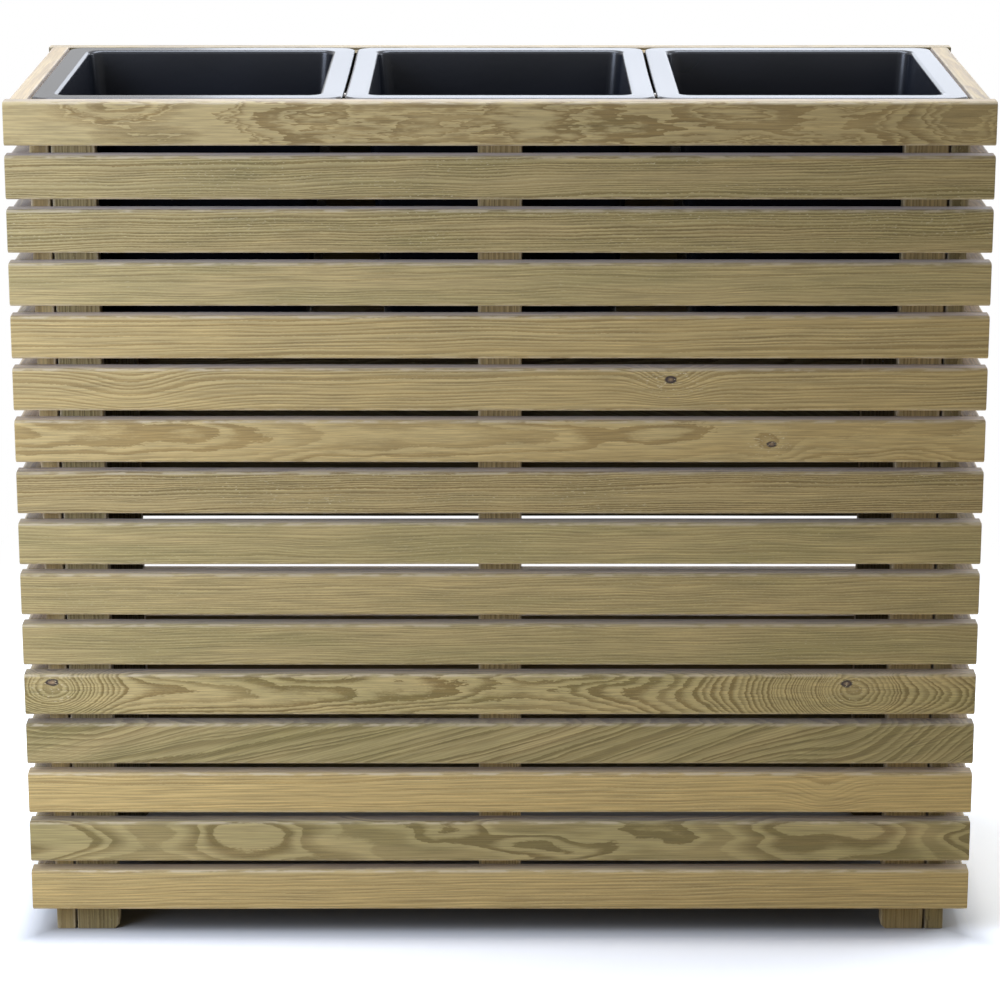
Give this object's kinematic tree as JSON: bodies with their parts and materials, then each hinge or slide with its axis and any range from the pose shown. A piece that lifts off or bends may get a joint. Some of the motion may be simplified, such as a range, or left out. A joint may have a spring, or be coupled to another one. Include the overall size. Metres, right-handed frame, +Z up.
{
  "type": "slatted wooden planter",
  "caption": "Rectangular free-standing planter of horizontal timber slats pinned to upright battens, with loose black plastic liners hanging by their flanges in its open top.",
  "frame": {"origin": "on the floor, under the centre of the planter", "axes": "+X along the long side, to the right seen from the front; +Y from front to back; +Z up"},
  "size_m": [1, 0.4, 0.9],
  "materials": {
    "slat_pine": "planed, pressure-treated, unpainted",
    "batten_pine": "sawn, pressure-treated, unpainted",
    "fixing_steel": "zinc plated",
    "liner_plastic": "thermoformed, glossy black"
  },
  "bodies": {
    "frame": {"front_slat_01": "slat_pine", "front_slat_02": "slat_pine", "front_slat_03": "slat_pine", "front_slat_04": "slat_pine", "front_slat_05": "slat_pine", "front_slat_06": "slat_pine", "front_slat_07": "slat_pine", "front_slat_08": "slat_pine", "front_slat_09": "slat_pine", "front_slat_10": "slat_pine", "front_slat_11": "slat_pine", "front_slat_12": "slat_pine", "front_slat_13": "slat_pine", "front_slat_14": "slat_pine", "front_slat_15": "slat_pine", "front_slat_16": "slat_pine", "back_slat_01": "slat_pine", "back_slat_02": "slat_pine", "back_slat_03": "slat_pine", "back_slat_04": "slat_pine", "back_slat_05": "slat_pine", "back_slat_06": "slat_pine", "back_slat_07": "slat_pine", "back_slat_08": "slat_pine", "back_slat_09": "slat_pine", "back_slat_10": "slat_pine", "back_slat_11": "slat_pine", "back_slat_12": "slat_pine", "back_slat_13": "slat_pine", "back_slat_14": "slat_pine", "back_slat_15": "slat_pine", "back_slat_16": "slat_pine", "left_side_slats": "slat_pine", "right_side_slats": "slat_pine", "front_centre_batten": "batten_pine", "back_centre_batten": "batten_pine", "front_left_corner_batten": "batten_pine", "front_right_corner_batten": "batten_pine", "back_left_corner_batten": "batten_pine", "back_right_corner_batten": "batten_pine", "front_left_side_batten": "batten_pine", "front_right_side_batten": "batten_pine", "back_left_side_batten": "batten_pine", "back_right_side_batten": "batten_pine", "front_left_ledger": "batten_pine", "front_right_ledger": "batten_pine", "back_left_ledger": "batten_pine", "back_right_ledger": "batten_pine", "left_side_ledger": "batten_pine", "right_side_ledger": "batten_pine", "front_brads": "fixing_steel", "back_brads": "fixing_steel", "left_side_brads": "fixing_steel", "right_side_brads": "fixing_steel", "ledger_brads": "fixing_steel", "corner_screws": "fixing_steel"},
    "left_liner_body": {"left_liner": "liner_plastic"},
    "middle_liner_body": {"middle_liner": "liner_plastic"},
    "right_liner_body": {"right_liner": "liner_plastic"}
  },
  "joints": [
    {"name": "left_lift", "type": "slide", "parent": "frame", "child": "left_liner_body", "axis": [0, 0, 1], "range_m": [0, 0.26]},
    {"name": "middle_lift", "type": "slide", "parent": "frame", "child": "middle_liner_body", "axis": [0, 0, 1], "range_m": [0, 0.26]},
    {"name": "right_lift", "type": "slide", "parent": "frame", "child": "right_liner_body", "axis": [0, 0, 1], "range_m": [0, 0.26]}
  ]
}
